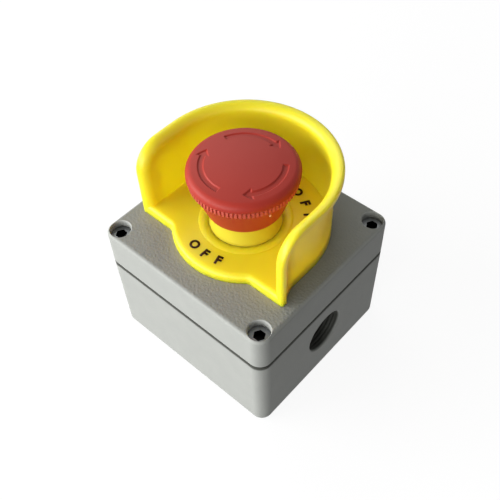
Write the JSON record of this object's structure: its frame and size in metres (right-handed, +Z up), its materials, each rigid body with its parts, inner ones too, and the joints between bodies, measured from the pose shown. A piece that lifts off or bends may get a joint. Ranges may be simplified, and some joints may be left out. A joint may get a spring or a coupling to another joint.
{
  "type": "emergency stop push-button station",
  "caption": "Guarded red mushroom emergency-stop button with turn release on a grey die-cast box with a tapped cable entry, opening one contact pair and closing another.",
  "frame": {"origin": "middle of the box's underside, on the button's axis", "axes": "+Z up along the button's axis, -Y to the front where the guard is open, +X to the side with the cable entry"},
  "size_m": [0.08, 0.075, 0.0895],
  "materials": {
    "grey_paint": "fine orange-peel grey paint on die-cast aluminium",
    "zinc_steel": "zinc plated",
    "spring_steel": "bright drawn",
    "yellow_guard": "satin moulded safety yellow",
    "red_head": "satin moulded red",
    "black_nylon": "moulded nylon",
    "seal_rubber": "moulded rubber",
    "contact_brass": "bright",
    "block_plastic": "moulded",
    "nc_red": "moulded",
    "no_green": "moulded"
  },
  "bodies": {
    "station": {"enclosure_base": "grey_paint", "enclosure_lid": "grey_paint", "lid_gasket": "seal_rubber", "lid_screws": "zinc_steel", "earth_screw": "zinc_steel", "earth_washer": "contact_brass", "guard_shroud": "yellow_guard", "shroud_seal": "seal_rubber", "bezel_ring": "yellow_guard", "operator_body": "black_nylon", "stem_seal": "seal_rubber", "lock_washer": "zinc_steel", "locknut": "zinc_steel", "latch_band": "spring_steel", "return_spring": "spring_steel", "contact_carrier": "black_nylon", "carrier_screws": "zinc_steel", "nc_housing": "block_plastic", "nc_cover": "block_plastic", "nc_spring": "spring_steel", "nc_terminals": "contact_brass", "nc_terminal_screws": "zinc_steel", "nc_clamps": "spring_steel", "no_housing": "block_plastic", "no_cover": "block_plastic", "no_spring": "spring_steel", "no_terminals": "contact_brass", "no_terminal_screws": "zinc_steel", "no_clamps": "spring_steel"},
    "press_slider": {"pusher": "black_nylon", "twist_spring": "spring_steel"},
    "turning_head": {"mushroom_head": "red_head", "head_stem": "spring_steel", "head_pin": "spring_steel", "stem_circlip": "spring_steel"},
    "latch_left": {"latch_pin_left": "spring_steel"},
    "latch_right": {"latch_pin_right": "spring_steel"},
    "nc_mover": {"nc_plunger": "nc_red", "nc_bridge": "contact_brass"},
    "no_mover": {"no_plunger": "no_green", "no_bridge": "contact_brass"}
  },
  "joints": [
    {"name": "button_press", "type": "slide", "parent": "station", "child": "press_slider", "axis": [0, 0, -1], "range_m": [0, 0.004], "stiffness_N_per_m": 2500, "springref_m": -0.005, "deforming": ["return_spring"]},
    {"name": "head_turn", "type": "hinge", "parent": "press_slider", "child": "turning_head", "pos_m": [0, 0, 0.07], "axis": [0, 0, -1], "range_deg": [0, 35], "stiffness_Nm_per_rad": 0.2, "springref_deg": -17.19},
    {"name": "latch_left_slide", "type": "slide", "parent": "station", "child": "latch_left", "axis": [-1, 0, 0], "range_m": [0, 0.0008]},
    {"name": "latch_right_slide", "type": "slide", "parent": "station", "child": "latch_right", "axis": [1, 0, 0], "range_m": [0, 0.0008]},
    {"name": "nc_contact", "type": "slide", "parent": "station", "child": "nc_mover", "axis": [0, 0, -1], "range_m": [0, 0.004], "deforming": ["nc_spring"]},
    {"name": "no_contact", "type": "slide", "parent": "station", "child": "no_mover", "axis": [0, 0, -1], "range_m": [0, 0.004], "deforming": ["no_spring"]}
  ],
  "couplings": [
    {"joint": "latch_left_slide", "follows": "button_press", "ratio": 0.2},
    {"joint": "latch_right_slide", "follows": "button_press", "ratio": 0.2},
    {"joint": "nc_contact", "follows": "button_press", "ratio": 1},
    {"joint": "no_contact", "follows": "button_press", "ratio": 1}
  ]
}
